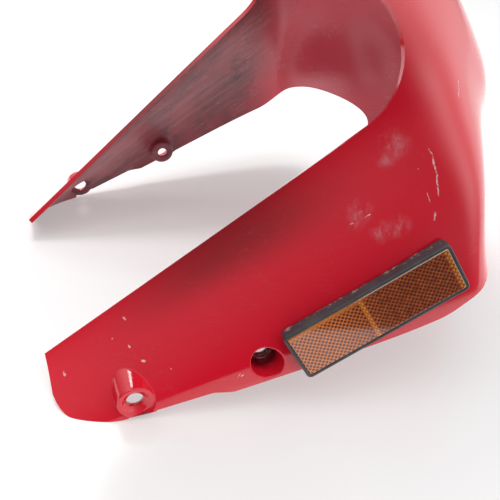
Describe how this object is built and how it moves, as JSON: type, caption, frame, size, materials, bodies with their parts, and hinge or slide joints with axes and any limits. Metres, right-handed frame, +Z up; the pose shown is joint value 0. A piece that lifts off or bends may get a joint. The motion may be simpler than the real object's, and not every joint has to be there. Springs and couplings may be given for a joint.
{
  "type": "motorcycle front fender",
  "caption": "Moulded front wheel fender: a round blade over the wheel, side wings with fork bolt bosses and cups, fork notches, and a side reflector stuck on one wing.",
  "frame": {"origin": "middle of the footprint on the surface that the fender lies on, as it rests on its wing tips and rear rim", "axes": "+X from the wing tips towards the rear rim, +Y across the wheel away from the reflector, +Z up"},
  "size_m": [0.3086, 0.2816, 0.3223],
  "materials": {
    "red": "gloss red with fine scratches",
    "black": "satin black",
    "amber": "clear amber over prisms",
    "pad": "soft dull foam tape"
  },
  "bodies": {
    "root": {"fender_shell": "red", "reflector_housing": "black", "reflector_lens": "amber", "reflector_pad": "pad"}
  },
  "joints": []
}
